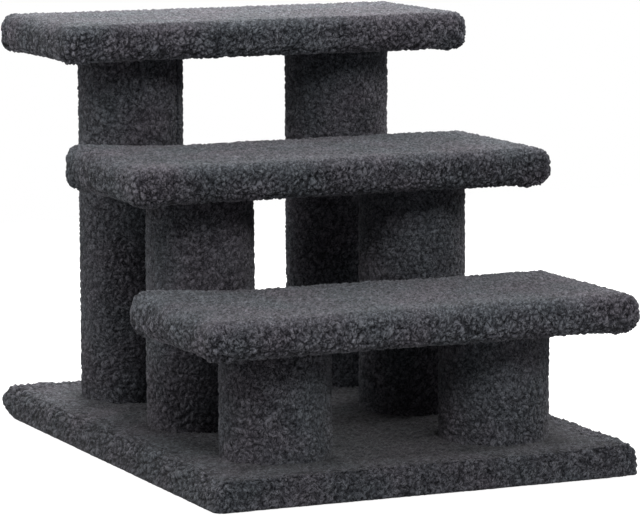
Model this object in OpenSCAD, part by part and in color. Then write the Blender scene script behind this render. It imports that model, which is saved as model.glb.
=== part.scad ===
// Three-step pet stairs. Fleece-wrapped treads stand on round wrapped posts, two under each
// tread, and all six posts stand on one fleece-wrapped base board.
// A post is a paper tube with a wooden plug in each end. A stud in the tread board screws into
// the upper plug, and a bolt from under the base board screws into the lower one.
// X runs along the steps, Y from the front to the back and Z up from the floor.
// The origin is on the floor, under the middle of the base.

/* [Overall size] */
// Height of the highest step's top above the floor
stairs_height = 377; // [340:1:440]
// Length of every step and width of the base, from side to side
step_length = 400; // [340:1:520]
// Depth of the base, whose back is flush with the highest step
base_depth = 524; // [500:1:600]

/* [Steps] */
// Clear gap from the back of a step to the posts behind it
step_back_gap = 28.4; // [20:0.1:40]
// Height of the lowest step's top above the floor
first_step_top = 156; // [130:1:190]
// How far the base reaches in front of the lowest step
base_front_reach = 13; // [0:1:30]

/* [Boards] */
// Thickness of the board inside the base
base_board_thickness = 15; // [12:0.5:25]
// Thickness of the board inside each step
step_board_thickness = 18; // [15:0.5:25]
// Rounding of the boards' upright corners
board_corner_radius = 3; // [1:0.5:6]

/* [Fleece] */
// Thickness of the fleece on the tops, sides, undersides and posts
pile_thickness = 8; // [6:0.5:10]
// Thickness of the hem that the weight of the stairs presses flat under the base
hem_thickness = 4; // [2:0.5:6]
// Width of the hems that are turned under the boards
hem_width = 26; // [15:1:32]
// Thickness of the fleece that is pinched between a post and a board
pinched_thickness = 2; // [1:0.25:4]
// Radius of the base's upright corners, outside the fleece
base_corner_radius = 13; // [6:0.5:20]
// Radius of the steps' upright corners, outside the fleece
step_corner_radius = 6; // [4:0.5:12]
// Rounding of the top edges, and of the steps' lower edges
edge_radius = 11; // [6:0.5:12]
// Rounding of the base's lower edges, where the fleece turns under
base_lower_edge_radius = 3; // [1:0.5:5]
// Radius of the gathered fleece at a step's lower corners, where the spare cloth is folded in
gather_radius = 8; // [5:0.5:9]
// How far a gathered corner hangs below the hem
gather_drop = 2.5; // [1:0.25:4]

/* [Posts] */
// Distance between the axes of the two posts under a step
post_spacing = 208; // [150:1:230]
// Outer diameter of the paper tube
tube_diameter = 80; // [60:1:84]
// Wall of the paper tube
tube_wall = 5; // [3:0.5:8]
// Thickness of the wooden plugs in the tube's ends
plug_thickness = 20; // [16:1:30]

/* [Fasteners] */
// Thread diameter of the bolts and studs
thread_diameter = 8; // [6:1:8]
// Diameter of a bolt's rounded head
bolt_head_diameter = 14; // [13:0.5:16]
// Height of a bolt's rounded head
bolt_head_height = 4.4; // [3.5:0.1:5]
// Width across the flats of the hexagon socket in a bolt's head
bolt_socket_width = 5; // [4:0.5:6]
// Diameter of the wide washer under a bolt's head
washer_diameter = 24; // [18:1:30]
// Thickness of the wide washer
washer_thickness = 1.6; // [1:0.1:2.5]
// Diameter of a tee nut's flange
nut_flange_diameter = 22; // [18:1:26]
// Thickness of a tee nut's flange
nut_flange_thickness = 1.6; // [1:0.1:2]
// Outer diameter of a tee nut's barrel
nut_barrel_diameter = 10; // [9.5:0.1:12]
// Length of a tee nut's barrel below its flange
nut_barrel_length = 11; // [8:0.5:13]

/* [Hidden] */
// Gap all round a glued or pressed fit, such as a plug in its tube
glue_gap = 0.1;
// Gap all round a bolt or stud in the thread of a tee nut
thread_gap = 0.1;
// Gap all round a bolt where it passes through a board
bolt_hole_gap = 0.5;
// Gap between a post's sleeve and the fleece that it sinks into
socket_gap = 0.3;
// Gap of a butted seam: along a sleeve, at a mitred hem and round a facing
seam_gap = 0.6;
// How far a bolt or stud stands out of the tee nut that it screws through
thread_end_reach = 3;
// Bevel at the end of a bolt or stud
thread_end_bevel = 1;
// How far a bolt's head lies inside the underside of the base board
head_inset = 0.5;
// Depth of the hexagon socket in a bolt's head
bolt_socket_depth = 2.5;
// Height of the upright rim below a bolt head's dome
bolt_head_rim = 1.2;
// Direction of the one seam that the front shows, and of the seams that face away from it
shown_seam_angle = -47;
hidden_seam_angle = 65;
// How far a cut runs past the surface that it opens
overrun = 1;
$fn = 96;

fleece = "#5b5b60";
particle_board = "#b99b72";
paper = "#a88a63";
plug_wood = "#c9a878";
zinc = "#b9bcc0";

STEP_NAMES = ["lower", "middle", "upper"];
SIDE_NAMES = ["left", "right"];
POST_PIECES = ["tube", "sleeve", "foot_plug", "head_plug"];
last_step = len(STEP_NAMES) - 1;
last_side = len(SIDE_NAMES) - 1;

function step_node(step, piece) = str(STEP_NAMES[step], "_step_", piece);
function post_node(step, side, piece) = str(STEP_NAMES[step], "_", SIDE_NAMES[side], "_post_", piece);

// Sizes that follow from the ones above
base_width = step_length;
step_rise = (stairs_height - first_step_top) / last_step;
base_thickness = hem_thickness + base_board_thickness + pile_thickness;
base_board_top = hem_thickness + base_board_thickness;
step_thickness = step_board_thickness + 2 * pile_thickness;
post_foot = base_board_top + pinched_thickness;
plug_radius = tube_diameter / 2 - tube_wall - glue_gap;
sleeve_inner_radius = tube_diameter / 2 + glue_gap;
sleeve_radius = sleeve_inner_radius + pile_thickness;
socket_radius = sleeve_radius + socket_gap;
step_run_beyond_half_step = step_back_gap + sleeve_radius;
step_depth = (base_depth - base_front_reach - last_step * step_run_beyond_half_step) / (1 + last_step / 2);
step_run = step_depth / 2 + step_run_beyond_half_step;
bolt_hole_radius = thread_diameter / 2 + bolt_hole_gap;
nut_hole_radius = nut_barrel_diameter / 2 + glue_gap;
counterbore_depth = head_inset + bolt_head_height + washer_thickness;
washer_underside = hem_thickness + head_inset + bolt_head_height;

function step_top(step) = first_step_top + step * step_rise;
function step_underside(step) = step_top(step) - step_thickness;
function step_board_underside(step) = step_underside(step) + pile_thickness;
function step_board_top(step) = step_top(step) - pile_thickness;
function step_middle(step) = base_front_reach + step * step_run + step_depth / 2 - base_depth / 2;
function post_head(step) = step_board_underside(step) - pinched_thickness;
function post_length(step) = post_head(step) - post_foot;
function side_sign(side) = 2 * side - 1;
function seam_angle(step, side) =
    STEP_NAMES[step] == "upper" && SIDE_NAMES[side] == "left" ? shown_seam_angle : hidden_seam_angle;

// Puts its children on the axis of one post
module at_post(step, side) {
    translate([side_sign(side) * post_spacing / 2, step_middle(step), 0])
        children();
}

// Puts its children on the axes of all six posts
module at_every_post() {
    for (step = [0:last_step])
        for (side = [0:last_side])
            at_post(step, side)
                children();
}

// Flat rectangle with round corners, about its middle
module rounded_rectangle(width, depth, radius) {
    square([width - 2 * radius, depth], center = true);
    square([width, depth - 2 * radius], center = true);
    for (x = [-1, 1])
        for (y = [-1, 1])
            translate([x * (width / 2 - radius), y * (depth / 2 - radius)])
                circle(radius);
}

// Side view of a wrapped board: flat top, flat underside and round edges
module edge_profile(width, height, top_radius, lower_radius) {
    translate([-width / 2, lower_radius])
        square([width, height - top_radius - lower_radius]);
    translate([top_radius - width / 2, height / 2])
        square([width - 2 * top_radius, height / 2]);
    translate([lower_radius - width / 2, 0])
        square([width - 2 * lower_radius, height / 2]);
    for (x = [-1, 1]) {
        translate([x * (width / 2 - top_radius), height - top_radius])
            circle(top_radius);
        translate([x * (width / 2 - lower_radius), lower_radius])
            circle(lower_radius);
    }
}

// Outside of a board wrapped in fleece. The edge rolls meet in a fold at each corner.
module wrapped_outside(width, depth, thickness, corner_radius, top_radius, lower_radius) {
    intersection() {
        linear_extrude(height = thickness)
            rounded_rectangle(width, depth, corner_radius);
        rotate([90, 0, 0])
            linear_extrude(height = depth, center = true)
                edge_profile(width, thickness, top_radius, lower_radius);
        rotate([90, 0, 90])
            linear_extrude(height = width, center = true)
                edge_profile(depth, thickness, top_radius, lower_radius);
    }
}

// Room for a board inside its cover, square at the corners where the fleece bridges them
module board_room(width, depth, thickness) {
    translate([pile_thickness - width / 2, pile_thickness - depth / 2, 0])
        cube([width - 2 * pile_thickness, depth - 2 * pile_thickness, thickness]);
}

// Board cut to fit inside the fleece
module board_blank(width, depth, thickness) {
    linear_extrude(height = thickness)
        rounded_rectangle(width - 2 * pile_thickness, depth - 2 * pile_thickness, board_corner_radius);
}

// Opening that the turned-under hem leaves in the middle of an underside, with mitred corners
module hem_opening(width, depth, thickness) {
    open_width = width - 2 * (pile_thickness + hem_width);
    open_depth = depth - 2 * (pile_thickness + hem_width);
    below = gather_drop + overrun;
    translate([-open_width / 2, -open_depth / 2, -below])
        cube([open_width, open_depth, thickness + below]);
    for (x = [-1, 1])
        for (y = [-1, 1])
            translate([x * open_width / 2, y * open_depth / 2, -below])
                rotate(atan2(y, x))
                    translate([-seam_gap, -seam_gap / 2, 0])
                        cube([seam_gap + norm([hem_width, hem_width]), seam_gap, thickness + below]);
}

// Base: a flat board, bored for six bolts that are sunk into its underside
module base_board() {
    color(particle_board)
        translate([0, 0, hem_thickness])
            difference() {
                board_blank(base_width, base_depth, base_board_thickness);
                at_every_post() {
                    translate([0, 0, -overrun])
                        cylinder(r = bolt_hole_radius, h = base_board_thickness + 2 * overrun);
                    translate([0, 0, -overrun])
                        cylinder(r = washer_diameter / 2 + bolt_hole_gap, h = counterbore_depth + overrun);
                }
            }
}

// Fleece over the base, turned under as a hem and sunk where the posts press on it
module base_cover() {
    color(fleece)
        difference() {
            wrapped_outside(base_width, base_depth, base_thickness,
                base_corner_radius, edge_radius, base_lower_edge_radius);
            translate([0, 0, hem_thickness])
                board_room(base_width, base_depth, base_board_thickness);
            hem_opening(base_width, base_depth, hem_thickness);
            at_every_post() {
                translate([0, 0, post_foot])
                    cylinder(r = socket_radius, h = base_thickness - post_foot + overrun);
                translate([0, 0, base_board_top - overrun])
                    cylinder(r = bolt_hole_radius, h = pinched_thickness + 2 * overrun);
            }
        }
}

// Tread board, bored for two tee nuts whose flanges lie flush in its top
module step_board(step) {
    color(particle_board)
        difference() {
            translate([0, step_middle(step), step_board_underside(step)])
                board_blank(step_length, step_depth, step_board_thickness);
            for (side = [0:last_side])
                at_post(step, side) {
                    translate([0, 0, step_board_underside(step) - overrun])
                        cylinder(r = nut_hole_radius, h = step_board_thickness + 2 * overrun);
                    translate([0, 0, step_board_top(step) - nut_flange_thickness])
                        cylinder(r = nut_flange_diameter / 2 + glue_gap, h = nut_flange_thickness + overrun);
                }
        }
}

// Sockets that the heads of two posts press into the fleece under a tread
module head_sockets(step) {
    for (side = [0:last_side])
        at_post(step, side)
            translate([0, 0, step_underside(step) - overrun])
                cylinder(r = socket_radius, h = post_head(step) - step_underside(step) + overrun);
}

// Spare fleece folded in at the lower corners of a tread. Each fold is a soft lump at the
// corner with a tail that runs in along the mitre of the hem and sinks into it.
module corner_gathers() {
    across = step_length / 2 - edge_radius;
    along = step_depth / 2 - edge_radius;
    tail_radius = gather_radius - gather_drop / 2;
    for (x = [-1, 1])
        for (y = [-1, 1])
            translate([x * across, y * along, gather_radius - gather_drop]) {
                sphere(gather_radius);
                rotate([0, 0, atan2(-y, -x)])
                    rotate([0, 90, 0])
                        cylinder(r1 = tail_radius, r2 = gather_drop, h = hem_width);
            }
}

// Fleece over a tread: top, rolled edges, gathered lower corners and a hem under the board
module step_cover(step) {
    color(fleece)
        difference() {
            translate([0, step_middle(step), step_underside(step)])
                difference() {
                    union() {
                        wrapped_outside(step_length, step_depth, step_thickness,
                            step_corner_radius, edge_radius, edge_radius);
                        corner_gathers();
                    }
                    translate([0, 0, pile_thickness])
                        board_room(step_length, step_depth, step_board_thickness);
                    hem_opening(step_length, step_depth, pile_thickness);
                }
            head_sockets(step);
        }
}

// Fleece panel glued under a tread, butted against the hem all round
module step_facing(step) {
    panel_width = step_length - 2 * (pile_thickness + hem_width + seam_gap);
    panel_depth = step_depth - 2 * (pile_thickness + hem_width + seam_gap);
    color(fleece)
        difference() {
            translate([-panel_width / 2, step_middle(step) - panel_depth / 2, step_underside(step)])
                cube([panel_width, panel_depth, pile_thickness]);
            head_sockets(step);
            for (side = [0:last_side])
                at_post(step, side)
                    translate([0, 0, step_underside(step)])
                        cylinder(r = nut_hole_radius, h = pile_thickness + overrun);
        }
}

// Paper tube of one post
module post_tube(step, side) {
    color(paper)
        at_post(step, side)
            translate([0, 0, post_foot])
                difference() {
                    cylinder(d = tube_diameter, h = post_length(step));
                    translate([0, 0, -overrun])
                        cylinder(r = tube_diameter / 2 - tube_wall, h = post_length(step) + 2 * overrun);
                }
}

// Fleece glued once round a tube, its two edges butted in an upright seam
module post_sleeve(step, side) {
    color(fleece)
        at_post(step, side)
            translate([0, 0, post_foot])
                difference() {
                    cylinder(r = sleeve_radius, h = post_length(step));
                    translate([0, 0, -overrun])
                        cylinder(r = sleeve_inner_radius, h = post_length(step) + 2 * overrun);
                    rotate(seam_angle(step, side))
                        translate([0, -seam_gap / 2, -overrun])
                            cube([sleeve_radius + overrun, seam_gap, post_length(step) + 2 * overrun]);
                }
}

// Wooden disc for a tube's end, standing on its outer face, with a tee nut's seat in its inner face
module plug() {
    color(plug_wood)
        difference() {
            cylinder(r = plug_radius, h = plug_thickness);
            translate([0, 0, -overrun])
                cylinder(r = nut_hole_radius, h = plug_thickness + 2 * overrun);
            translate([0, 0, plug_thickness - nut_flange_thickness])
                cylinder(r = nut_flange_diameter / 2 + glue_gap, h = nut_flange_thickness + overrun);
        }
}

module foot_plug(step, side) {
    at_post(step, side)
        translate([0, 0, post_foot])
            plug();
}

module head_plug(step, side) {
    at_post(step, side)
        translate([0, 0, post_head(step)])
            mirror([0, 0, 1])
                plug();
}

// Tee nut, hanging from the face that its flange lies flush in
module tee_nut() {
    color(zinc)
        difference() {
            union() {
                translate([0, 0, -nut_flange_thickness])
                    cylinder(d = nut_flange_diameter, h = nut_flange_thickness);
                translate([0, 0, -nut_flange_thickness - nut_barrel_length])
                    cylinder(d = nut_barrel_diameter, h = nut_barrel_length + nut_flange_thickness / 2);
            }
            translate([0, 0, -nut_flange_thickness - nut_barrel_length - overrun])
                cylinder(r = thread_diameter / 2 + thread_gap,
                    h = nut_barrel_length + nut_flange_thickness + 2 * overrun);
        }
}

// Two tee nuts in the top of every tread board
module step_tee_nuts() {
    for (step = [0:last_step])
        for (side = [0:last_side])
            at_post(step, side)
                translate([0, 0, step_board_top(step)])
                    tee_nut();
}

// One tee nut in the inner face of every plug
module plug_tee_nuts() {
    for (step = [0:last_step])
        for (side = [0:last_side])
            at_post(step, side) {
                translate([0, 0, post_foot + plug_thickness])
                    tee_nut();
                translate([0, 0, post_head(step) - plug_thickness])
                    mirror([0, 0, 1])
                        tee_nut();
            }
}

// Round bar of a given length with a bevel at its upper end, and at its lower end if asked
module threaded_bar(length, both_ends) {
    lower_bevel = both_ends ? thread_end_bevel : 0;
    rotate_extrude()
        polygon([
            [0, 0],
            [thread_diameter / 2 - lower_bevel, 0],
            [thread_diameter / 2, lower_bevel],
            [thread_diameter / 2, length - thread_end_bevel],
            [thread_diameter / 2 - thread_end_bevel, length],
            [0, length]
        ]);
}

// Double-ended studs, each from a tread board's tee nut down through the upper plug of a post
module step_studs() {
    stud_length = step_board_thickness - nut_flange_thickness + pinched_thickness
        + plug_thickness + thread_end_reach;
    color(zinc)
        for (step = [0:last_step])
            for (side = [0:last_side])
                at_post(step, side)
                    translate([0, 0, step_board_top(step) - nut_flange_thickness - stud_length])
                        threaded_bar(stud_length, true);
}

// Rounded bolt head with a hexagon socket, resting with its flat side at zero and its dome below
module bolt_head() {
    dome_height = bolt_head_height - bolt_head_rim;
    head_radius = bolt_head_diameter / 2;
    dome_radius = (head_radius * head_radius + dome_height * dome_height) / (2 * dome_height);
    difference() {
        intersection() {
            translate([0, 0, -bolt_head_height])
                cylinder(r = head_radius, h = bolt_head_height);
            translate([0, 0, dome_radius - bolt_head_height])
                sphere(r = dome_radius);
        }
        translate([0, 0, -bolt_head_height - overrun])
            cylinder(d = bolt_socket_width / cos(30), h = bolt_socket_depth + overrun, $fn = 6);
    }
}

// Six bolts from under the base into the lower plugs
module base_bolts() {
    shank_length = post_foot + plug_thickness + thread_end_reach - washer_underside;
    color(zinc)
        at_every_post()
            translate([0, 0, washer_underside]) {
                bolt_head();
                threaded_bar(shank_length, false);
            }
}

// One wide washer over every bolt head, sunk in the base board
module base_washers() {
    color(zinc)
        at_every_post()
            translate([0, 0, washer_underside])
                difference() {
                    cylinder(d = washer_diameter, h = washer_thickness);
                    translate([0, 0, -overrun])
                        cylinder(r = thread_diameter / 2 + thread_gap, h = washer_thickness + 2 * overrun);
                }
}

base_board();
base_cover();
for (step = [0:last_step]) {
    step_board(step);
    step_cover(step);
    step_facing(step);
    for (side = [0:last_side]) {
        post_tube(step, side);
        post_sleeve(step, side);
        foot_plug(step, side);
        head_plug(step, side);
    }
}
step_tee_nuts();
plug_tee_nuts();
step_studs();
base_bolts();
base_washers();
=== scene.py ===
# Pet stairs: three fleece-wrapped treads on six round posts over one fleece-wrapped base board.
# X runs along the steps, Y from the front to the back and Z up from the floor, in metres.
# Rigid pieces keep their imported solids, and every fleece piece is made here with its curls.
import itertools
import math

import bpy
import numpy as np
from mathutils import Matrix, Vector


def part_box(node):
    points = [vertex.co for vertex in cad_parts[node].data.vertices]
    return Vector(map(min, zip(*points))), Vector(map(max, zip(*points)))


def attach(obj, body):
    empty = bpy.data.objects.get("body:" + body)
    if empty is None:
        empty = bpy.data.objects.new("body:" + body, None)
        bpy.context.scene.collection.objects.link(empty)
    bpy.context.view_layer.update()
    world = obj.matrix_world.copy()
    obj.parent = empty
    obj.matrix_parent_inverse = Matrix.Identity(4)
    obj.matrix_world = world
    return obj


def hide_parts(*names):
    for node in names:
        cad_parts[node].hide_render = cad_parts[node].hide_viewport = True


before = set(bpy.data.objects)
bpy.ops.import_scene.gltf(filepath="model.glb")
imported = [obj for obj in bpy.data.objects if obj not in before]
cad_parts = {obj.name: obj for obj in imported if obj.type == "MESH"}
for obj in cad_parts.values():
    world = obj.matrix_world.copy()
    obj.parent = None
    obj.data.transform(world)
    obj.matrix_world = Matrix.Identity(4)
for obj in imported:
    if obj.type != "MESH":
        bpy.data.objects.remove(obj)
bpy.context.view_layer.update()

# Base board. Flat particle board, 15 mm thick, pressed from wood chips and resin.
# It is bored for six bolts, and its underside stays bare inside the hem of its cover.
MM = 0.001
chip_size = 3.5 * MM
dust_size = 0.7 * MM
dust_relief = 0.25 * MM


def new_material(name):
    """Node material with its surface shader, and the coordinates of the piece itself."""
    material = bpy.data.materials.new(name)
    material.use_nodes = True
    tree = material.node_tree
    place = tree.nodes.new("ShaderNodeTexCoord").outputs["Object"]
    return material, tree, tree.nodes["Principled BSDF"], place


def connect(tree, socket, value):
    """Links an input to another node's output, or sets it to a plain value."""
    if isinstance(value, bpy.types.NodeSocket):
        tree.links.new(value, socket)
    else:
        socket.default_value = value


def add_node(tree, kind, settings=None, **inputs):
    """New shader node with its settings and named inputs."""
    node = tree.nodes.new("ShaderNode" + kind)
    for name, value in (settings or {}).items():
        setattr(node, name, value)
    for name, value in inputs.items():
        connect(tree, node.inputs[name.replace("_", " ")], value)
    return node


def speckle(tree, place, size, detail=2.0, roughness=0.5, distortion=0.0):
    """Even noise whose spots are about one size across."""
    return add_node(tree, "TexNoise", Vector=place, Scale=1 / size, Detail=detail,
                    Roughness=roughness, Distortion=distortion).outputs["Fac"]


def colour_steps(tree, factor, stops):
    """Colour that runs through the given stops of place and colour."""
    ramp = add_node(tree, "ValToRGB", Fac=factor)
    elements = ramp.color_ramp.elements
    while len(elements) < len(stops):
        elements.new(1.0)
    for element, (position, colour) in zip(elements, stops):
        element.position = position
        element.color = (*colour, 1.0)
    return ramp.outputs["Color"]


def calculate(tree, operation, first, second=0.0):
    """One sum between two numbers or outputs."""
    node = tree.nodes.new("ShaderNodeMath")
    node.operation = operation
    connect(tree, node.inputs[0], first)
    connect(tree, node.inputs[1], second)
    return node.outputs[0]


def spread(tree, value, low, high):
    """Stretches the middle of a noise to the range from low to high."""
    return add_node(tree, "MapRange", Value=value, From_Min=0.25, From_Max=0.75,
                    To_Min=low, To_Max=high).outputs["Result"]


def mix_colours(tree, mode, amount, first, second):
    """Second colour laid over the first one."""
    node = add_node(tree, "Mix", {"data_type": "RGBA", "blend_type": mode})
    factor, base, cover = (node.inputs[number] for number in (0, 6, 7))
    connect(tree, factor, amount)
    connect(tree, base, first)
    connect(tree, cover, second)
    return node.outputs[2]


def roughen(tree, shader, height, depth, strength):
    """Small relief in a finish, from a height pattern of the given depth."""
    bump = add_node(tree, "Bump", Height=height, Distance=depth, Strength=strength)
    tree.links.new(bump.outputs["Normal"], shader.inputs["Normal"])


def particle_board():
    """Pressed chips in several browns with darker resin between them."""
    material, tree, shader, place = new_material("particle_board")
    chips = add_node(tree, "TexVoronoi", Vector=place, Scale=1 / chip_size, Randomness=1.0)
    grey = add_node(tree, "SeparateColor", Color=chips.outputs["Color"]).outputs[0]
    wood = colour_steps(tree, grey, [
        (0.0, (0.24, 0.145, 0.075)),
        (0.45, (0.45, 0.31, 0.175)),
        (1.0, (0.62, 0.46, 0.29)),
    ])
    dust = speckle(tree, place, dust_size, detail=4.0, roughness=0.7)
    wood = mix_colours(tree, "MULTIPLY", 0.7, wood,
                       colour_steps(tree, dust, [(0.3, (0.5, 0.46, 0.42)), (0.65, (1.0, 1.0, 1.0))]))
    tree.links.new(wood, shader.inputs["Base Color"])
    tree.links.new(spread(tree, dust, 0.62, 0.85), shader.inputs["Roughness"])
    roughen(tree, shader, dust, dust_relief, 0.5)
    return material


def paint(material, *names):
    """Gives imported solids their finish."""
    for name in names:
        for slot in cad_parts[name].material_slots:
            slot.material = material


board_finish = particle_board()
paint(board_finish, "base_board")

# Base cover. One piece of curly sherpa fleece, 8 mm deep, pulled tight over the board and
# turned under it as a 26 mm hem that is stapled down. The posts press it flat under them.
pile_depth = 8 * MM
hem_width = 26 * MM
base_hem_depth = 4 * MM
pinched_depth = 2 * MM
base_corner_radii = (7 * MM, 16 * MM, 1.5 * MM)
backing_step = 12 * MM
level_play = 0.5 * MM
pressed_play = 0.1 * MM
merge_grid = 0.01 * MM
least_length = 0.001 * MM
least_area = 1e-12
curl_size = 5.0 * MM
curl_drift_size = 1.2
curl_drift = 0.6
curl_slimness = 0.79
pit_width = 0.36
curl_unevenness = 0.22
nap_size = 3.0 * MM
nap_share = 0.85
nap_tone = 0.22
nap_turn = 0.42
nap_lie = (1.0, 4.0, 1.8)
curl_lie = (1.0, 1.8, 1.0)
middle_height = 0.6
brow_painted_highlight = 0.1
curl_hang = 1.7
base_curl_height = 2.4 * MM
socket_radius = 48.4 * MM
socket_lip = 0.4 * MM
socket_rim = 1.3 * MM
socket_floor_rim = 3.2 * MM
staple_spacing = 42 * MM
staple_crown = 10 * MM
wire_width = 1.2 * MM
dent_edge = 2.6 * MM
base_dent = 1.5 * MM
base_clearance = 0.2 * MM
floor_ease = 9 * MM
base_edge_wander = ((6 * MM, 22 * MM), (4 * MM, 6 * MM))
base_swell = ((0.5 * MM, 38 * MM),)
base_curl_fade = (14 * MM, 50 * MM)
base_painted_shade_fade = (12 * MM, 56 * MM)
right_end_reach = 80 * MM
right_end_full = 30 * MM
right_end_curls = 0.75
hem_curls = 0.35
floor_lift_share = 0.2
# Painted light and shade of the base: darker on its top in from the edges, where the treads shade it,
# lighter at its curly edges.
base_painted_top_shade = 0.38
base_painted_edge_light = 0.9
base_contrast = (1.2, 0.78)
front_band = 24 * MM
base_corner_bulge = 3.3 * MM
base_bulge_reach = 60 * MM
base_bulge_stretch = 3.0
corner_reach = 45 * MM
corner_tuck = 6.5 * MM
foot_tuck = 6 * MM
foot_tuck_run = (1.0, -0.5)
end_rise = 1.6 * MM
foot_spread = 3 * MM
foot_height = 14 * MM


def spaced(start, end, step):
    """Places from start to end, both included, about one step apart."""
    return np.linspace(start, end, max(2, round(abs(end - start) / step) + 1))


def lines_through(places, steps):
    """Grid lines through the given places, each stretch with its own step."""
    parts = [spaced(a, b, step)[:-1] for a, b, step in zip(places, places[1:], steps)]
    return np.concatenate([*parts, places[-1:]])


def side_patch(across, up, corner_of, outward_is_positive):
    """One flat side of a box: its points, its four-sided faces and the flat layout of both."""
    a, b = np.meshgrid(across, up, indexing="ij")
    points = corner_of(a.ravel(), b.ravel())
    number = np.arange(a.size).reshape(a.shape)
    ring = [number[:-1, :-1], number[1:, :-1], number[1:, 1:], number[:-1, 1:]]
    faces = np.stack([n.ravel() for n in ring], axis=1)
    if not outward_is_positive:
        faces = faces[:, ::-1]
    layout = np.stack([a.ravel(), b.ravel()], axis=1)
    return points, faces, layout


def open_box(xs, ys, zs, window):
    """Box of fine faces, open at a window in its underside: points, faces and layout."""
    def at(x=None, y=None, z=None):
        fixed = {"x": x, "y": y, "z": z}

        def place(a, b):
            running = iter((a, b))
            return np.stack([next(running) if fixed[axis] is None else np.full(a.shape, fixed[axis])
                             for axis in "xyz"], axis=1)
        return place

    sides = [
        side_patch(xs, ys, at(z=zs[-1]), True),
        side_patch(xs, ys, at(z=zs[0]), False),
        side_patch(xs, zs, at(y=ys[0]), True),
        side_patch(xs, zs, at(y=ys[-1]), False),
        side_patch(ys, zs, at(x=xs[0]), False),
        side_patch(ys, zs, at(x=xs[-1]), True),
    ]
    all_points, all_faces, all_layouts = [], [], []
    count = 0
    shelf = 0.0
    for number, (points, faces, layout) in enumerate(sides):
        if number == 1:
            middles = points[faces].mean(axis=1)
            inside = (np.abs(middles[:, 0]) < window[0] / 2) & (np.abs(middles[:, 1]) < window[1] / 2)
            faces = faces[~inside]
        layout = layout - layout.min(axis=0) + [0.0, shelf]
        shelf = layout[:, 1].max() + pile_depth
        all_points.append(points)
        all_faces.append(faces + count)
        all_layouts.append(layout[faces])
        count += len(points)
    points = np.concatenate(all_points)
    faces = np.concatenate(all_faces)
    layouts = np.concatenate(all_layouts)
    keys = np.round(points / merge_grid).astype(np.int64)
    _, first, merged = np.unique(keys, axis=0, return_index=True, return_inverse=True)
    faces = merged.ravel()[faces]
    used, faces = np.unique(faces, return_inverse=True)
    return points[first][used], faces.reshape(-1, 4), layouts


def bend_over(points, size, radii):
    """Bends a square-cornered box, its middle over the origin, into its wrapped form."""
    height = size[2]
    plan_radius, top_radius, lower_radius = radii
    half = np.array(size[:2]) / 2
    plan = points[:, :2]
    z = points[:, 2].copy()
    inner = np.clip(plan, plan_radius - half, half - plan_radius)
    beyond = plan - inner
    reach = np.abs(beyond).max(axis=1)
    away = beyond / np.maximum(np.linalg.norm(beyond, axis=1), least_length)[:, None]
    inset = plan_radius - reach
    for radius, up in ((top_radius, 1), (lower_radius, -1)):
        level = height - radius if up > 0 else radius
        outward = radius - inset
        upward = (z - level) * up
        rolled = (outward > 0) & (upward > 0)
        square = np.maximum(outward, upward)
        scale = np.where(rolled, square / np.hypot(outward, np.where(rolled, upward, 1.0)), 1.0)
        inset = np.where(rolled, radius - outward * scale, inset)
        z = np.where(rolled, level + upward * scale * up, z)
    reach = np.where(reach > 0, plan_radius - inset, 0.0)
    return np.column_stack([inner + away * reach[:, None], z])


def press_sockets(points, posts, high, low):
    """Sinks a level fleece surface where round posts press on it, down to the level low."""
    points = points.copy()
    level = np.abs(points[:, 2] - high) < level_play
    for post in posts:
        offset = points[:, :2] - post
        radius = np.linalg.norm(offset, axis=1)
        toward = offset / np.maximum(radius, least_length)[:, None]
        rim = level & (np.abs(radius - socket_radius) < socket_rim)
        floor = level & (radius <= socket_radius - socket_rim)
        floor_rim = floor & (radius > socket_radius - socket_floor_rim)
        points[rim, :2] = post + toward[rim] * (socket_radius + socket_lip)
        points[floor_rim, :2] = post + toward[floor_rim] * socket_radius
        points[floor, 2] = low
    return points


def outward_directions(points, faces):
    """Smooth directions at right angles to a surface of four-sided faces."""
    corners = points[faces]
    crossing = np.cross(corners[:, 2] - corners[:, 0], corners[:, 3] - corners[:, 1])
    total = np.zeros_like(points)
    for axis in range(3):
        weights = np.repeat(crossing[:, axis], faces.shape[1])
        total[:, axis] = np.bincount(faces.ravel(), weights, len(points))
    return total / np.maximum(np.linalg.norm(total, axis=1), least_area)[:, None]


cells_across = 64
chance = np.random.default_rng(21)
cell_spots = chance.random((cells_across ** 3, 4), dtype=np.float32)
cell_lies = (chance.normal(size=(cells_across ** 3, 3)) * [1.0, 1.0, curl_hang]).astype(np.float32)
cell_lies /= np.linalg.norm(cell_lies, axis=1)[:, None]


def cell_numbers(cells):
    """Row of each whole-numbered cell of space in the tables of random values."""
    a, b, c = (cells % cells_across).T
    return (a * cells_across + b) * cells_across + c


def waves(points, size, kind=0):
    """Smooth unevenness from -1 to 1 over stretches of about one size."""
    places = points / size
    cells = np.floor(places).astype(int)
    share = places - cells
    share = share * share * (3 - 2 * share)
    total = np.zeros(len(points))
    for corner in itertools.product((0, 1), repeat=3):
        weight = np.where(corner, share, 1 - share).prod(axis=1)
        total += weight * cell_spots[cell_numbers(cells + corner), kind]
    return 2 * total - 1


def wander(points, parts):
    """Sum of unevennesses, each with its depth and the size of its stretches."""
    return sum(depth * waves(points, size) for depth, size in parts)


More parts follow.
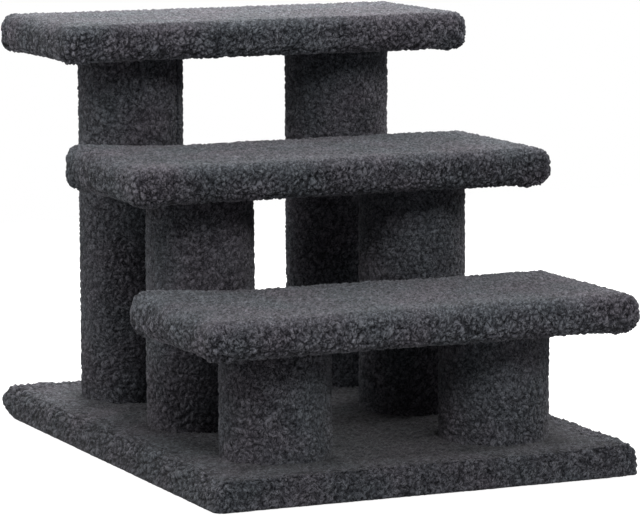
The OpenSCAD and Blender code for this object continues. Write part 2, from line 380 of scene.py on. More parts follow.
def curl_pattern(points, size):
    """Height from 0 to 1 of short curls about one size long, with narrow pits between them."""
    drift = np.stack([waves(points, curl_drift_size * size, kind) for kind in range(3)], axis=1)
    places = points / size + curl_drift * drift
    cells = np.floor(places).astype(int)
    nearest = np.full(len(points), np.inf)
    second = nearest.copy()
    own_height = np.zeros(len(points))
    for step in itertools.product((-1, 0, 1), repeat=3):
        cell = cells + step
        number = cell_numbers(cell)
        spot = cell_spots[number]
        gap = places - cell - spot[:, :3]
        along = np.einsum("ij,ij->i", gap, cell_lies[number])
        distance = np.sqrt(np.einsum("ij,ij->i", gap, gap) - curl_slimness * along * along)
        is_nearer = distance < nearest
        second = np.where(is_nearer, nearest, np.minimum(second, distance))
        nearest = np.where(is_nearer, distance, nearest)
        own_height = np.where(is_nearer, spot[:, 3], own_height)
    crease = np.clip((second - nearest) / pit_width, 0.0, 1.0)
    return (1 - (1 - crease) ** 2) * (1 - curl_unevenness + curl_unevenness * own_height)


def smooth_share(value, low, high):
    """Share that eases from 0 at low to 1 at high."""
    share = np.clip((value - low) / (high - low), 0.0, 1.0)
    return share * share * (3 - 2 * share)


def pile_relief(points, curly, height, size=curl_size):
    """Lift and curl value of the pile, with large curls where curly is 1, a fine nap at 0 and a painted
    highlight where the two are mixed.
    """
    curls = curl_pattern(points / curl_lie, size)
    turn = np.array([[math.cos(nap_turn), math.sin(nap_turn), 0.0],
                     [-math.sin(nap_turn), math.cos(nap_turn), 0.0],
                     [0.0, 0.0, 1.0]])
    nap = curl_pattern(points @ turn / nap_lie, nap_size)
    lift = curly * (curls - middle_height) + nap_share * (1 - curly) * (nap - middle_height)
    value = curly * curls + (1 - curly) * (nap_tone + (1 - nap_tone) * nap)
    # Painted highlight: the curl value is raised where curls and nap are mixed, as along the brows.
    return height * lift, value + brow_painted_highlight * 4 * curly * (1 - curly)


def fuller_corner(points, width, depth, reach, stretch=1.0):
    """Share from 0 to 1 by which a cover bulges near its back left corner."""
    away = np.hypot((points[:, 0] + width / 2) / stretch, points[:, 1] - depth / 2)
    return 1 - smooth_share(away, 0.0, reach)


def staple_places(width, depth):
    """Middle of each staple on the plan of a hem, and the axis that its crown runs along."""
    half = np.array([width, depth]) / 2 - pile_depth - hem_width / 2
    places = []
    for axis in (0, 1):
        count = round(2 * half[axis] / staple_spacing)
        for along in np.linspace(-half[axis], half[axis], count + 1)[1:-1]:
            for side in (-1, 1):
                place = np.zeros(2)
                place[axis] = along
                place[1 - axis] = side * half[1 - axis]
                places.append((place, axis))
    return places


def staple_dents(points, width, depth):
    """Share from 0 to 1 of the dents that the staples of a hem press into its pile."""
    share = np.zeros(len(points))
    for place, axis in staple_places(width, depth):
        offset = np.abs(points[:, :2] - place)
        along = offset[:, axis] - staple_crown / 2
        across = offset[:, 1 - axis] - wire_width / 2
        share = np.maximum(share, 1 - smooth_share(np.maximum(along, across), 0.0, dent_edge))
    return share


def rim_of(faces):
    """Open edge of a patch, as a loop of point numbers that runs the way its faces do."""
    start = faces.ravel()
    end = np.roll(faces, -1, axis=1).ravel()
    count = faces.max() + 1
    is_open = ~np.isin(start * count + end, end * count + start)
    following = dict(zip(start[is_open].tolist(), end[is_open].tolist()))
    loop = [min(following)]
    while following[loop[-1]] != loop[0]:
        loop.append(following[loop[-1]])
    return loop


def zip_rims(points, outer, inner):
    """Triangles that close the gap between two loops that run in opposite ways."""
    inner = inner[::-1]
    start = np.linalg.norm(points[inner] - points[outer[0]], axis=1).argmin()
    inner = inner[start:] + inner[:start]

    def shares(loop):
        lengths = np.linalg.norm(np.diff(points[loop + loop[:1]], axis=0), axis=1)
        return np.concatenate([[0.0], np.cumsum(lengths)]) / lengths.sum()

    outer_shares, inner_shares = shares(outer), shares(inner)
    i = j = 0
    triangles = []
    while i < len(outer) or j < len(inner):
        here, there = outer[i % len(outer)], inner[j % len(inner)]
        if j == len(inner) or (i < len(outer) and outer_shares[i + 1] <= inner_shares[j + 1]):
            triangles.append((outer[(i + 1) % len(outer)], here, there))
            i += 1
        else:
            triangles.append((there, inner[(j + 1) % len(inner)], here))
            j += 1
    return np.array(triangles)


def lying(tree, place, turn, wide, long):
    """Coordinates in which a pattern's spots lie one way, in the given width and length."""
    return add_node(tree, "Mapping", {"vector_type": "TEXTURE"}, Vector=place, Rotation=turn,
                    Scale=(wide, wide, long)).outputs["Vector"]


def strokes(tree, place, turn, wide, long):
    """Short thin streaks that all lie one way."""
    return add_node(tree, "TexNoise", Vector=lying(tree, place, turn, wide, long), Scale=1.0,
                    Detail=1.0, Roughness=0.6, Distortion=0.5).outputs["Fac"]


def strand_gaps(tree, place, turn, wide, long, width):
    """0 along short winding gaps between locks that lie one way, and 1 on the locks."""
    level = speckle(tree, lying(tree, place, turn, wide, long), 1.0, detail=1.0, distortion=0.8)
    away = calculate(tree, "ABSOLUTE", calculate(tree, "SUBTRACT", level, 0.5))
    return add_node(tree, "MapRange", Value=away, From_Max=width).outputs["Result"]


def blend(tree, share, first, second):
    """Mix of two numbers, the second one where the share is 1."""
    return add_node(tree, "Mix", Factor=share, A=first, B=second).outputs["Result"]


def grey_of(tree, value):
    """Plain grey from one number."""
    return add_node(tree, "CombineColor", Red=value, Green=value, Blue=value).outputs["Color"]


def charcoal_fleece():
    """Curly pile: dark grey on the curls, near black in the pits and in the gaps between locks as painted
    shade, with fine fibres in it.
    """
    lock_lies = ((0.3, 0.5, 0.3), (-0.6, -0.5, 0.2))
    lock_size = (2.8 * MM, 5.0 * MM)
    lock_gap = 0.10
    fibre_lies = ((0.3, 0.35, 0.3), (-0.4, -0.45, 0.2))
    fibre_size = (1.0 * MM, 5.0 * MM)
    brushed_lies = ((1.5, 0.0, -0.3), (1.5, 0.0, -0.56))
    brushed_size = (1.5 * MM, 22.0 * MM)
    material, tree, shader, place = new_material("charcoal_fleece")
    curl = add_node(tree, "Attribute", {"attribute_name": "curl"}).outputs["Fac"]
    nap = add_node(tree, "Attribute", {"attribute_name": "nap"}).outputs["Fac"]
    # Painted light and shade of each piece, read from its mesh.
    piece_painted_light = add_node(tree, "Attribute", {"attribute_name": "tone_and_painted_light"}).outputs["Fac"]
    patches = add_node(tree, "MapRange", Value=speckle(tree, place, 7 * MM, detail=0.0),
                       From_Min=0.44, From_Max=0.56).outputs["Result"]
    swirl = add_node(tree, "TexNoise", Vector=place, Scale=1 / (3.0 * MM), Detail=1.0).outputs["Color"]
    bend = add_node(tree, "VectorMath", {"operation": "MULTIPLY_ADD"})
    tree.links.new(swirl, bend.inputs[0])
    bend.inputs[1].default_value = (2.2 * MM, 2.2 * MM, 2.2 * MM)
    tree.links.new(place, bend.inputs[2])
    bent = bend.outputs["Vector"]

    def laid_two_ways(pattern, points, lies, *sizes):
        """Blend, in patches, of one pattern laid two ways."""
        return blend(tree, patches, *[pattern(tree, points, lie, *sizes) for lie in lies])

    strands = laid_two_ways(strand_gaps, bent, lock_lies, *lock_size, lock_gap)
    fibre = laid_two_ways(strokes, bent, fibre_lies, *fibre_size)
    brushed = laid_two_ways(strokes, place, brushed_lies, *brushed_size)
    brushed = spread(tree, brushed, -0.35, 1.35)
    fibre = blend(tree, calculate(tree, "MULTIPLY", nap, 0.8), fibre, brushed)
    strands = blend(tree, calculate(tree, "MULTIPLY", nap, 0.5), strands, 1.0)
    cloudy = speckle(tree, place, 30 * MM, detail=3.0, roughness=0.55, distortion=1.0)
    tint = speckle(tree, place, 60 * MM, detail=2.0)
    # Colour by curl height: the near-black low end is painted shade in the pits, the rest is the fleece's
    # own dark grey.
    pile = colour_steps(tree, curl, [
        (0.0, (0.012, 0.012, 0.014)),
        (0.3, (0.054, 0.054, 0.062)),
        (0.6, (0.118, 0.118, 0.131)),
        (1.0, (0.188, 0.188, 0.204)),
    ])
    tone_and_painted_light = calculate(tree, "MULTIPLY", spread(tree, fibre, 0.58, 1.38), spread(tree, cloudy, 0.86, 1.14))
    # Painted shade in the gaps between locks.
    tone_and_painted_light = calculate(tree, "MULTIPLY", tone_and_painted_light, blend(tree, strands, 0.1, 1.15))
    # Painted light and shade of the piece.
    tone_and_painted_light = calculate(tree, "MULTIPLY", tone_and_painted_light, piece_painted_light)
    pile = mix_colours(tree, "MULTIPLY", 1.0, pile, grey_of(tree, tone_and_painted_light))
    cast = colour_steps(tree, tint, [(0.35, (0.94, 1.02, 1.04)), (0.65, (1.04, 0.98, 1.03))])
    pile = mix_colours(tree, "MULTIPLY", 1.0, pile, cast)
    tree.links.new(pile, shader.inputs["Base Color"])
    shader.inputs["Roughness"].default_value = 0.95
    shader.inputs["Specular IOR Level"].default_value = 0.05
    shader.inputs["Sheen Weight"].default_value = 0.22
    shader.inputs["Sheen Roughness"].default_value = 0.5
    shader.inputs["Sheen Tint"].default_value = (0.66, 0.66, 0.67, 1.0)
    roughen(tree, shader, calculate(tree, "MULTIPLY", fibre, strands), 0.8 * MM, 0.7)
    return material


def knitted_backing():
    """Inner side of the fleece: a fine flat knit in plain dark grey."""
    material, tree, shader, place = new_material("knitted_backing")
    rows = add_node(tree, "TexWave", {"bands_direction": "DIAGONAL"}, Vector=place,
                    Scale=1 / (5 * MM), Distortion=1.5, Detail=2.0, Detail_Scale=2.0)
    colour = colour_steps(tree, rows.outputs["Fac"], [
        (0.0, (0.035, 0.035, 0.038)),
        (1.0, (0.075, 0.075, 0.080)),
    ])
    tree.links.new(colour, shader.inputs["Base Color"])
    shader.inputs["Roughness"].default_value = 0.9
    shader.inputs["Sheen Weight"].default_value = 0.1
    roughen(tree, shader, rows.outputs["Fac"], 0.3 * MM, 0.5)
    return material


fleece_finish = charcoal_fleece()
backing_finish = knitted_backing()


def new_mesh_piece(name, points, faces, finish):
    """Object from points and faces, which rides on the stairs."""
    mesh = bpy.data.meshes.new(name)
    mesh.from_pydata(points, [], faces)
    mesh.materials.append(finish)
    mesh.shade_smooth()
    piece = bpy.data.objects.new(name, mesh)
    bpy.context.scene.collection.objects.link(piece)
    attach(piece, "root")
    return piece


def fleece_piece(name, outside, inside, curl, curly, tone_and_painted_light=1.0):
    """Closed sheet of fleece between an outer patch, with its curls, and a backing patch."""
    outer_points, outer_faces, outer_layout = outside
    inner_points, inner_faces, inner_layout = inside
    points = np.concatenate([outer_points, inner_points])
    inner_faces = inner_faces[:, ::-1] + len(outer_points)
    closing = zip_rims(points, rim_of(outer_faces), rim_of(inner_faces))
    faces = [*outer_faces.tolist(), *inner_faces.tolist(), *closing.tolist()]
    piece = new_mesh_piece(name, points, faces, fleece_finish)
    mesh = piece.data
    mesh.materials.append(backing_finish)
    face_finish = np.zeros(len(faces), np.int32)
    face_finish[len(outer_faces):len(outer_faces) + len(inner_faces)] = 1
    mesh.polygons.foreach_set("material_index", face_finish)
    # The third attribute is painted light and shade over the piece: lighter and darker copies of one
    # fleece.
    for label, values in (("curl", curl), ("nap", 1 - curly), ("tone_and_painted_light", tone_and_painted_light + 0 * curl)):
        values = np.concatenate([values, np.full(len(inner_points), 0.5)]).astype(np.float32)
        mesh.attributes.new(label, "FLOAT", "POINT").data.foreach_set("value", values)

    # Flat layout: the outer patch, the backing above it and the narrow closing band on top
    inner_layout = inner_layout[:, ::-1] + [0.0, outer_layout[..., 1].max() + pile_depth]
    band = np.zeros((len(closing), 3, 2))
    band[..., 0] = np.linspace(0, outer_layout[..., 0].max(), len(closing))[:, None]
    band[:, 1, 0] += MM
    band[:, 2, 1] = pile_depth
    band[..., 1] += inner_layout[..., 1].max() + pile_depth
    flat = np.concatenate([part.reshape(-1, 2) for part in (outer_layout, inner_layout, band)])
    flat = (flat - flat.min(axis=0)) / np.ptp(flat, axis=0)
    mesh.uv_layers.new(name="OFBake").uv.foreach_set("vector", flat.astype(np.float32).ravel())
    return piece


def post_middles(step):
    """Places of a step's two posts on the floor plan."""
    places = []
    for side in ("left", "right"):
        low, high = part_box(f"{step}_{side}_post_tube")
        places.append(np.array([(low.x + high.x) / 2, (low.y + high.y) / 2]))
    return places


STEPS = ("lower", "middle", "upper")
all_posts = [place for step in STEPS for place in post_middles(step)]

low_corner, high_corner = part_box("base_cover")
base_width = high_corner.x - low_corner.x
base_depth = high_corner.y - low_corner.y
base_height = high_corner.z
edge_band = 24 * MM
base_side_step = 1.5 * MM
base_top_step = 2.05 * MM
board_top = base_height - pile_depth


def wrapped_board(size, board_levels, radii, steps):
    """Outer and backing patches of fleece wrapped over a board, its middle over the origin."""
    width, depth, height = size
    fine, coarse = steps
    window = np.array([width, depth]) / 2 - pile_depth - hem_width
    xs = lines_through([-width / 2, edge_band - width / 2, width / 2 - edge_band, width / 2],
                       [fine, coarse, fine])
    ys = lines_through([-depth / 2, edge_band - depth / 2, depth / 2 - edge_band, depth / 2],
                       [fine, coarse, fine])
    for lines, edge in ((xs, window[0]), (ys, window[1])):
        lines[np.abs(lines + edge).argmin()] = -edge
        lines[np.abs(lines - edge).argmin()] = edge
    points, faces, layout = open_box(xs, ys, spaced(0.0, height, fine), 2 * window)
    outside = bend_over(points, size, radii), faces, layout
    half_board = np.array([width, depth]) / 2 - pile_depth
    inner_xs = lines_through([-half_board[0], -window[0], window[0], half_board[0]], [backing_step] * 3)
    inner_ys = lines_through([-half_board[1], -window[1], window[1], half_board[1]], [backing_step] * 3)
    inside = open_box(inner_xs, inner_ys, spaced(*board_levels, backing_step), 2 * window)
    return outside, inside


def edge_inset(points, width, depth):
    """How far each point of a wrapped board lies inside its outline on the plan."""
    return np.minimum(width / 2 - np.abs(points[:, 0]), depth / 2 - np.abs(points[:, 1]))


def past_edge(points, width, depth, height):
    """Distance from the top edge to each point: over the top it is positive, down a side negative."""
    return edge_inset(points, width, depth) - (height - points[:, 2])


outside, inside = wrapped_board((base_width, base_depth, base_height), (base_hem_depth, board_top),
                                base_corner_radii, (base_side_step, base_top_step))
smooth, faces, layout = outside
sunk = press_sockets(smooth, all_posts, base_height, board_top + pinched_depth)
pressed = sunk[:, 2] < smooth[:, 2] - pressed_play
underneath = smooth[:, 2] < level_play
inset = edge_inset(smooth, base_width, base_depth)
inset += wander(smooth, base_edge_wander)
right_end = smooth_share(smooth[:, 0], base_width / 2 - right_end_reach, base_width / 2 - right_end_full)
curly = 1 - smooth_share(inset, *base_curl_fade)
# Painted shade on the base top in from its edges, easing to painted light at the edges.
painted_light_at_edges = 1 - smooth_share(inset, *base_painted_shade_fade)
curly = np.maximum(curly, right_end_curls * right_end * (smooth[:, 1] < base_depth / 4))
curly = np.where(underneath, hem_curls, curly)
dents = np.where(underneath, staple_dents(smooth, base_width, base_depth), 0.0)
lift, curl = pile_relief(smooth, curly, base_curl_height)
toward_back = smooth_share(smooth[:, 1] + base_depth / 2, 0.0, front_band)
contrast = base_contrast[1] + (base_contrast[0] - base_contrast[1]) * toward_back
curl = middle_height + (curl - middle_height) * contrast
lift = np.where(pressed, 0.0, lift + wander(smooth, base_swell)) * (1 - dents)
fuller = fuller_corner(smooth, base_width, base_depth, base_bulge_reach, base_bulge_stretch)
lift += np.where(pressed, 0.0, base_corner_bulge) * fuller
off_floor = smooth_share(smooth[:, 2], 0.0, floor_ease)
lift *= np.where(underneath, 1.0, floor_lift_share + (1 - floor_lift_share) * off_floor)
near_foot = 1 - smooth_share(smooth[:, 2], 0.0, foot_height)
back_left = fuller_corner(smooth, base_width, base_depth, corner_reach)
front_right = fuller_corner(-smooth, base_width, base_depth, corner_reach)
lift += np.where(underneath, 0.0, foot_spread * near_foot * (1 - front_right))
raised = sunk + outward_directions(smooth, faces) * lift[:, None]
raised[:, :2] += (foot_tuck * near_foot * back_left)[:, None] * np.array(foot_tuck_run)
raised[:, 0] -= corner_tuck * front_right
toward_top = smooth_share(smooth[:, 2], 0.0, base_height)
raised[:, 2] += np.where(pressed, 0.0, end_rise) * right_end * toward_top
raised[:, 2] = np.where(underneath, np.maximum(raised[:, 2], base_clearance) + base_dent * dents,
                        np.maximum(raised[:, 2], 0.0))
base_cover = fleece_piece("base_fleece_cover", (raised, faces, layout), inside, curl, curly,
                          base_painted_top_shade + (base_painted_edge_light - base_painted_top_shade) * painted_light_at_edges)
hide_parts("base_cover")

# Tread boards. Each step is an 18 mm particle board, bored for two tee nuts.
# They are wrapped all round, so they only show where a cover is taken off.
paint(board_finish, *[f"{step}_step_board" for step in STEPS])

# Tread covers. Each tread is wrapped like the base, but its lower edges are round as well.
# The spare fleece is folded in at the four lower corners and hangs there as a soft lump, and
# the looser covers of the lower two treads stand out at the back left corner and right end.
tread_height = 34 * MM
tread_corner_radii = (11 * MM, 12 * MM, 14 * MM)
tread_bulges = {"lower": (6 * MM, 4 * MM, 3.5 * MM), "middle": (4.5 * MM, 0.0, 3 * MM),
                "upper": (0.5 * MM, 1 * MM, 0.0)}
bulge_reach = 110 * MM
end_reach = 45 * MM
tread_step = 1.25 * MM
tread_curl_height = 2.2 * MM
# Painted light and shade per step: lighter or darker copies of the same fleece on the curls and the nap,
# and painted shade on the nap just below the top edge.
tread_curl_painted_light = {"lower": 1.2, "middle": 1.06, "upper": 1.22}
tread_nap_painted_light = {"lower": 0.97, "middle": 1.05, "upper": 1.12}
front_shade = 0.25
front_shade_reach = 10 * MM
tread_edge_wander = ((5 * MM, 18 * MM), (4 * MM, 6 * MM))
tread_swell = ((0.55 * MM, 30 * MM),)
tread_curl_fade = (-14 * MM, 10 * MM)
back_nap = 10 * MM
back_band = 25 * MM
tread_dent = 1.7 * MM
gather_corner = 11 * MM
gather_start = 6 * MM
gather_reach = 24 * MM
gather_level = 2 * MM
gather_rise = 1.2
gather_low = 4 * MM
gather_high = tread_height * 0.75
gather_sag = 1.0 * MM
pleat_depth = 1.3 * MM
pleats = 5


def gathered_corners(points, width, depth):
    """How far the folded spare fleece stands out near the lower corners, pleats among it."""
    corner = np.abs(points[:, :2]) - np.array([width, depth]) / 2 + gather_corner
    above = np.maximum(points[:, 2] - gather_level, 0.0) * gather_rise
    near = np.sqrt((corner ** 2).sum(axis=1) + above ** 2)
    share = 1 - smooth_share(near, gather_start, gather_reach)
    turn = np.arctan2(corner[:, 1], corner[:, 0])
    folds = np.cos(pleats * 2 * turn) * pleat_depth
    low = 1 - smooth_share(points[:, 2], gather_low, gather_high)
    return share * (gather_sag * low + folds * low)


for step in STEPS:
    low_corner, high_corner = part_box(f"{step}_step_cover")
    width = high_corner.x - low_corner.x
    depth = high_corner.y - low_corner.y
    origin = Vector(((low_corner.x + high_corner.x) / 2, (low_corner.y + high_corner.y) / 2,
                     high_corner.z - tread_height))
    outside, inside = wrapped_board((width, depth, tread_height), (pile_depth, tread_height - pile_depth),
                                    tread_corner_radii, (tread_step, tread_step))
    smooth, faces, layout = outside
    posts = [place - np.array(origin[:2]) for place in post_middles(step)]
    sunk = press_sockets(smooth, posts, 0.0, pile_depth - pinched_depth)
    pressed = sunk[:, 2] > smooth[:, 2] + pressed_play
    where = smooth + np.array(origin)
    inward = past_edge(smooth, width, depth, tread_height)
    # Painted shade on the nap just down the sides from the top edge, on top of the painted light of each
    # step.
    shade = front_shade * smooth_share(-inward, 0.0, front_shade_reach)
    nap_light = tread_nap_painted_light[step] * (1 - shade)
    inward += wander(where, tread_edge_wander)
    inward += back_nap * smooth_share(smooth[:, 1], depth / 2 - back_band, depth / 2)
    curly = 1 - smooth_share(inward, *tread_curl_fade)
    underneath = smooth[:, 2] < level_play
    dents = np.where(underneath, staple_dents(smooth, width, depth), 0.0)
    lift, curl = pile_relief(where, curly, tread_curl_height)
    lift = np.where(pressed, 0.0, lift + wander(where, tread_swell)) * (1 - dents)
    lift += gathered_corners(smooth, width, depth) - tread_dent * dents
    raised = sunk + outward_directions(smooth, faces) * lift[:, None] + np.array(origin)
    fuller = fuller_corner(smooth, width, depth, bulge_reach)
    upward, outward, rightward = tread_bulges[step]
    middle_share = 1 - (2 * smooth[:, 2] / tread_height - 1) ** 2
    raised[:, 2] += upward * fuller * smooth_share(smooth[:, 2], tread_height / 3, tread_height)
    raised[:, 0] -= outward * fuller * middle_share
    toward_right = smooth_share(smooth[:, 0], width / 2 - end_reach, width / 2)
    raised[:, 0] += rightward * middle_share * toward_right
    inner_points, inner_faces, inner_layout = inside
    cover = fleece_piece(f"{step}_step_fleece_cover", (raised, faces, layout),
                         (inner_points + np.array(origin), inner_faces, inner_layout), curl, curly,
                         nap_light + (tread_curl_painted_light[step] - nap_light) * curly)
    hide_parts(f"{step}_step_cover")

# Tread facings. A panel of the same fleece is glued to the underside of each tread, inside
# the hem, so that nothing bare shows from below. The post heads press it flat.
facing_step = 2.0 * MM
facing_curls = 0.7
facing_curl_height = 2.6 * MM


def flat_panel(low, high, level, step, faces_up):
    """Level rectangle of fine faces: points, faces and layout."""
    def place(a, b):
        return np.stack([a, b, np.full(a.shape, level)], axis=1)

    points, faces, layout = side_patch(spaced(low[0], high[0], step), spaced(low[1], high[1], step),
                                       place, faces_up)
    return points, faces, (layout - layout.min(axis=0))[faces]


for step in STEPS:
    low_corner, high_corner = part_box(f"{step}_step_facing")
    smooth, faces, layout = flat_panel(low_corner, high_corner, low_corner.z, facing_step, False)
    sunk = press_sockets(smooth, post_middles(step), low_corner.z, high_corner.z - pinched_depth)
    pressed = sunk[:, 2] > smooth[:, 2] + pressed_play
    curly = np.full(len(smooth), facing_curls)
    lift, curl = pile_relief(smooth, curly, facing_curl_height)
    raised = sunk.copy()
    raised[:, 2] -= np.where(pressed, 0.0, lift)
    backing = flat_panel(low_corner, high_corner, high_corner.z, backing_step, False)
    facing = fleece_piece(f"{step}_step_fleece_facing", (raised, faces, layout), backing, curl, curly)
    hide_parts(f"{step}_step_facing")

# Hem staples. Wire staples every 42 mm hold each hem to its board. Their crowns lie pressed
# into the pile, and their legs go up into the board.
staple_leg = 9 * MM
wire_depth = 0.7 * MM
base_crown_level = 1.3 * MM
tread_crown_level = 1.5 * MM


def zinc_finish():
    """Bright zinc plate with a faint cloudy grain."""
    material, tree, shader, place = new_material("zinc_plate")
    cloud = speckle(tree, place, 1.6 * MM, detail=3.0, roughness=0.6)
    tree.links.new(colour_steps(tree, cloud, [(0.3, (0.50, 0.51, 0.53)), (0.7, (0.66, 0.68, 0.70))]),
                   shader.inputs["Base Color"])
    tree.links.new(spread(tree, cloud, 0.28, 0.45), shader.inputs["Roughness"])
    shader.inputs["Metallic"].default_value = 1.0
    roughen(tree, shader, cloud, 0.05 * MM, 0.3)
    return material


def bar(start, end, wide, deep):
    """Square wire between two points: eight corners and six faces."""
    start, end, wide, deep = (np.array(v, float) for v in (start, end, wide, deep))
    ring = [wide + deep, wide - deep, -wide - deep, deep - wide]
    corners = [start + offset for offset in ring] + [end + offset for offset in ring]
    faces = [(3, 2, 1, 0), (4, 5, 6, 7)]
    faces += [(k, (k + 1) % 4, (k + 1) % 4 + 4, k + 4) for k in range(4)]
    return corners, faces


def hem_staples(name, middle, width, depth, crown_level):
    """All the staples of one hem, set square to its edge."""
    corners, faces = [], []
    for place, axis in staple_places(width, depth):
        centre = np.array([*(np.array(middle) + place), crown_level])
        run = np.zeros(3)
        run[axis] = staple_crown / 2
        cross = np.zeros(3)
        cross[1 - axis] = wire_width / 2
        rise = np.array([0.0, 0.0, wire_depth / 2])
        leg_rise = np.array([0.0, 0.0, staple_leg])
        inward = run * (1 - wire_depth / staple_crown)
        leg_width = run * wire_depth / staple_crown
        parts = [bar(centre - run, centre + run, cross, rise)]
        parts += [bar(centre + end * inward + rise, centre + end * inward + leg_rise, cross, leg_width)
                  for end in (-1, 1)]
        for part_corners, part_faces in parts:
            first = len(corners)
            corners += part_corners
            faces += [tuple(first + k for k in face) for face in part_faces]
    piece = new_mesh_piece(name, corners, faces, metal_finish)
    piece.data.shade_flat()
    return piece


metal_finish = zinc_finish()
hem_staples("base_hem_staples", (0.0, 0.0), base_width, base_depth, base_crown_level)
for step in STEPS:
    low_corner, high_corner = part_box(f"{step}_step_cover")
    middle = ((low_corner.x + high_corner.x) / 2, (low_corner.y + high_corner.y) / 2)
    hem_staples(f"{step}_step_hem_staples", middle, high_corner.x - low_corner.x,
                high_corner.y - low_corner.y, high_corner.z - tread_height + tread_crown_level)

# Post tubes. Each post is a tube of brown paper wound in a spiral and glued, 80 mm across
# with a 5 mm wall, hidden by its sleeve.
def wound_paper():
    """Brown paper with the faint lines of its spiral strips."""
    material, tree, shader, place = new_material("wound_paper")
    strips = add_node(tree, "TexWave", {"bands_direction": "Z", "wave_profile": "SAW"}, Vector=place,
                      Scale=1 / (190 * MM), Distortion=0.4, Detail=1.0)
    pulp = speckle(tree, place, 1.5 * MM, detail=4.0, roughness=0.7)
    paper = colour_steps(tree, strips.outputs["Fac"], [
        (0.0, (0.28, 0.18, 0.095)),
        (0.06, (0.40, 0.27, 0.155)),
        (1.0, (0.43, 0.30, 0.175)),
    ])
    paper = mix_colours(tree, "MULTIPLY", 0.6, paper,
                        colour_steps(tree, pulp, [(0.3, (0.75, 0.72, 0.68)), (0.7, (1.0, 1.0, 1.0))]))
    tree.links.new(paper, shader.inputs["Base Color"])
    shader.inputs["Roughness"].default_value = 0.8
    roughen(tree, shader, pulp, 0.1 * MM, 0.4)
    return material


SIDES = ("left", "right")
POSTS = [f"{step}_{side}_post" for step in STEPS for side in SIDES]
paint(wound_paper(), *[f"{post}_tube" for post in POSTS])

# Plugs. A turned disc of pale wood is glued into each end of a tube and carries a tee nut.
def plug_wood():
    """Pale wood with growth rings and fine pores."""
    material, tree, shader, place = new_material("plug_wood")
    rings = add_node(tree, "TexWave", {"wave_type": "BANDS", "bands_direction": "X"}, Vector=place,
                     Scale=1 / (22 * MM), Distortion=6.0, Detail=3.0, Detail_Scale=1.2)
    pores = speckle(tree, place, 0.8 * MM, detail=3.0, roughness=0.7)
    wood = colour_steps(tree, rings.outputs["Fac"], [
        (0.0, (0.50, 0.33, 0.17)),
        (1.0, (0.66, 0.48, 0.28)),
    ])
    wood = mix_colours(tree, "MULTIPLY", 0.5, wood,
                       colour_steps(tree, pores, [(0.35, (0.7, 0.64, 0.55)), (0.6, (1.0, 1.0, 1.0))]))
    tree.links.new(wood, shader.inputs["Base Color"])
    shader.inputs["Roughness"].default_value = 0.65
    roughen(tree, shader, pores, 0.1 * MM, 0.4)
    return material


paint(plug_wood(), *[f"{post}_{end}_plug" for post in POSTS for end in ("foot", "head")])

# Post sleeves. A strip of the same fleece is glued once round each tube. Its two edges meet
# in an upright seam, which faces the front only on the upper left post.
post_step = 1.1 * MM
post_curl_height = 2.3 * MM
# Painted shade: the sleeves are darker copies of the same fleece, the lowest pair the least.
sleeve_painted_shade = {"lower": 0.93, "middle": 0.8, "upper": 0.8}
sleeve_contrast = 0.82
post_curl_size = 5.4 * MM
seam_width = 0.6 * MM
seam_roll = 3.0 * MM
seam_sink = 2.2 * MM
seam_dark = 0.8
sleeve_glue = 0.1 * MM
sleeve_backing_step = 10 * MM
sleeve_swell = ((0.3 * MM, 40 * MM),)
sleeve_curls = 0.8
sleeve_curl_wander = ((0.2, 30 * MM),)
sleeve_end_fade = (4 * MM, 11 * MM)
shown_seam_angle = math.radians(-47)
hidden_seam_angle = math.radians(65)


def wrap_round(middle, radius, seam_angle, low, high, step):
    """Upright strip once round a post, from one side of its seam to the other."""
    around = 2 * math.pi * radius - seam_width

    def place(a, b):
        angle = seam_angle + (a + seam_width / 2) / radius
        x = middle[0] + radius * np.cos(angle)
        y = middle[1] + radius * np.sin(angle)
        return np.stack([x, y, b], axis=1)

    points, faces, layout = side_patch(spaced(0.0, around, step), spaced(low, high, step), place, True)
    flat = layout[:, 0]
    return points, faces, (layout - layout.min(axis=0))[faces], np.minimum(flat, around - flat)


for post in POSTS:
    low_corner, high_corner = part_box(f"{post}_sleeve")
    tube_low, tube_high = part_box(f"{post}_tube")
    middle = np.array([(tube_low.x + tube_high.x) / 2, (tube_low.y + tube_high.y) / 2])
    inner_radius = (tube_high.x - tube_low.x) / 2 + sleeve_glue
    outer_radius = inner_radius + pile_depth
    seam_angle = shown_seam_angle if post == "upper_left_post" else hidden_seam_angle
    smooth, faces, layout, from_seam = wrap_round(middle, outer_radius, seam_angle,
                                                  low_corner.z, high_corner.z, post_step)
    from_end = np.minimum(smooth[:, 2] - low_corner.z, high_corner.z - smooth[:, 2])
    free = smooth_share(from_end, *sleeve_end_fade)
    curly = sleeve_curls + wander(smooth, sleeve_curl_wander)
    lift, curl = pile_relief(smooth, curly, post_curl_height, post_curl_size)
    in_seam = 1 - smooth_share(from_seam, 0.0, seam_roll)
    lift = free * (lift + wander(smooth, sleeve_swell)) - seam_sink * in_seam
    raised = smooth + outward_directions(smooth, faces) * lift[:, None]
    backing = wrap_round(middle, inner_radius, seam_angle, low_corner.z, high_corner.z,
                         sleeve_backing_step)[:3]
    curl = middle_height + (curl - middle_height) * sleeve_contrast
    # The last argument is the painted shade of the sleeve's step.
    sleeve = fleece_piece(f"{post}_fleece_sleeve", (raised, faces, layout), backing,
                          curl * (1 - seam_dark * in_seam), curly, sleeve_painted_shade[post.split("_")[0]])
    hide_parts(f"{post}_sleeve")

# Metal fasteners. Zinc-plated tee nuts sit in the treads and plugs, studs join treads to
# posts, and bolts with wide washers come up through the base board from below.
paint(metal_finish, "step_tee_nuts", "plug_tee_nuts", "step_studs", "base_bolts", "base_washers")

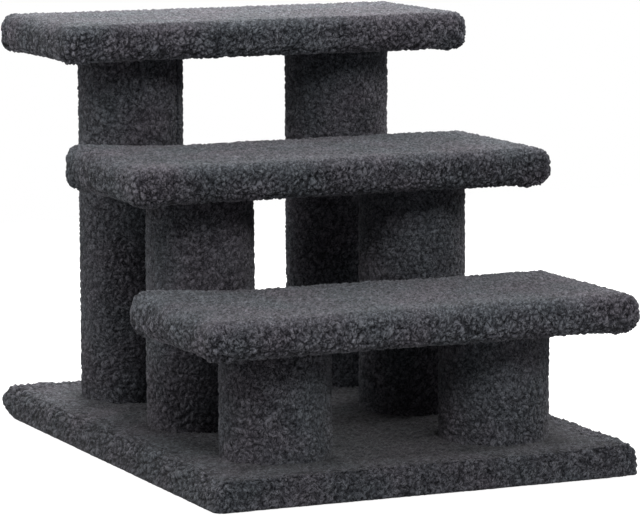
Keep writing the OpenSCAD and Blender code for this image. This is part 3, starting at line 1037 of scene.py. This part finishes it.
# Floor, light and camera. A plain white floor under six large soft lamps and a little even
# light, seen from the left of the front through a long lens, a little above the top step.
lens = 215.9
sensor = 36.0
camera_yaw = -0.4207
camera_pitch = 0.1359
camera_roll = -0.0036
camera_place = Vector((-1.38455, -3.11606, 0.63454))
lamp_target = Vector((0.0, 0.0, 0.2))
lamps = (
    ("front_lamp", (-0.5, -2.4, 2.2), 1.1, 44.5),
    ("high_left_lamp", (-1.4, 0.2, 2.4), 1.1, 9.5),
    ("back_left_lamp", (-1.25, 0.75, 1.9), 1.1, 4.0),
    ("low_left_lamp", (-1.8, 0.6, 1.2), 1.1, 9.0),
    ("right_lamp", (2.3, 0.4, 1.3), 1.1, 19.5),
    ("back_lamp", (0.3, 0.95, 0.8), 0.6, 15.0),
)
even_light = 0.14
floor_glow = 0.9
floor_reach = 1.6

camera_data = bpy.data.cameras.new("camera")
camera_data.lens = lens
camera_data.sensor_width = sensor
camera = bpy.data.objects.new("camera", camera_data)
bpy.context.scene.collection.objects.link(camera)
forward = Vector((-math.sin(camera_yaw) * math.cos(camera_pitch),
                  math.cos(camera_yaw) * math.cos(camera_pitch),
                  -math.sin(camera_pitch)))
level = Vector((math.cos(camera_yaw), math.sin(camera_yaw), 0.0))
above = level.cross(forward)
right = level * math.cos(camera_roll) + above * math.sin(camera_roll)
up = above * math.cos(camera_roll) - level * math.sin(camera_roll)
camera.matrix_world = Matrix((
    (right.x, up.x, -forward.x, camera_place.x),
    (right.y, up.y, -forward.y, camera_place.y),
    (right.z, up.z, -forward.z, camera_place.z),
    (0.0, 0.0, 0.0, 1.0),
))
bpy.context.scene.camera = camera


def soft_lamp(name, place, size, power):
    """Large square lamp that points at the stairs."""
    data = bpy.data.lights.new(name, "AREA")
    data.shape = "SQUARE"
    data.size = size
    data.energy = power
    lamp = bpy.data.objects.new(name, data)
    bpy.context.scene.collection.objects.link(lamp)
    lamp.location = place
    lamp.rotation_euler = (lamp_target - Vector(place)).to_track_quat("-Z", "Y").to_euler()


for lamp_values in lamps:
    soft_lamp(*lamp_values)


def seen_directly(tree):
    """1 for what the camera, a mirror or a clear pane sees, and 0 for the light on the object."""
    rays = tree.nodes.new("ShaderNodeLightPath").outputs
    direct = calculate(tree, "MAXIMUM", rays["Is Camera Ray"], rays["Is Glossy Ray"])
    return calculate(tree, "MAXIMUM", direct, rays["Is Transmission Ray"])


world = bpy.data.worlds.new("studio")
bpy.context.scene.world = world
world.use_nodes = True
tree = world.node_tree
background = tree.nodes["Background"]
background.inputs["Color"].default_value = (1.0, 1.0, 1.0, 1.0)
tree.links.new(calculate(tree, "MAXIMUM", seen_directly(tree), even_light), background.inputs["Strength"])

floor_material, tree, shader, place = new_material("white_floor")
shader.inputs["Base Color"].default_value = (0.4, 0.4, 0.4, 1.0)
shader.inputs["Roughness"].default_value = 0.9
shader.inputs["Specular IOR Level"].default_value = 0.1
shader.inputs["Emission Color"].default_value = (1.0, 1.0, 1.0, 1.0)
tree.links.new(calculate(tree, "MULTIPLY", seen_directly(tree), floor_glow),
               shader.inputs["Emission Strength"])
floor_mesh = bpy.data.meshes.new("floor")
floor_mesh.from_pydata([(-floor_reach, -floor_reach, 0), (floor_reach, -floor_reach, 0),
                        (floor_reach, floor_reach, 0), (-floor_reach, floor_reach, 0)],
                       [], [(0, 1, 2, 3)])
floor_mesh.materials.append(floor_material)
floor = bpy.data.objects.new("floor", floor_mesh)
bpy.context.scene.collection.objects.link(floor)

bpy.context.scene.view_settings.view_transform = "Standard"
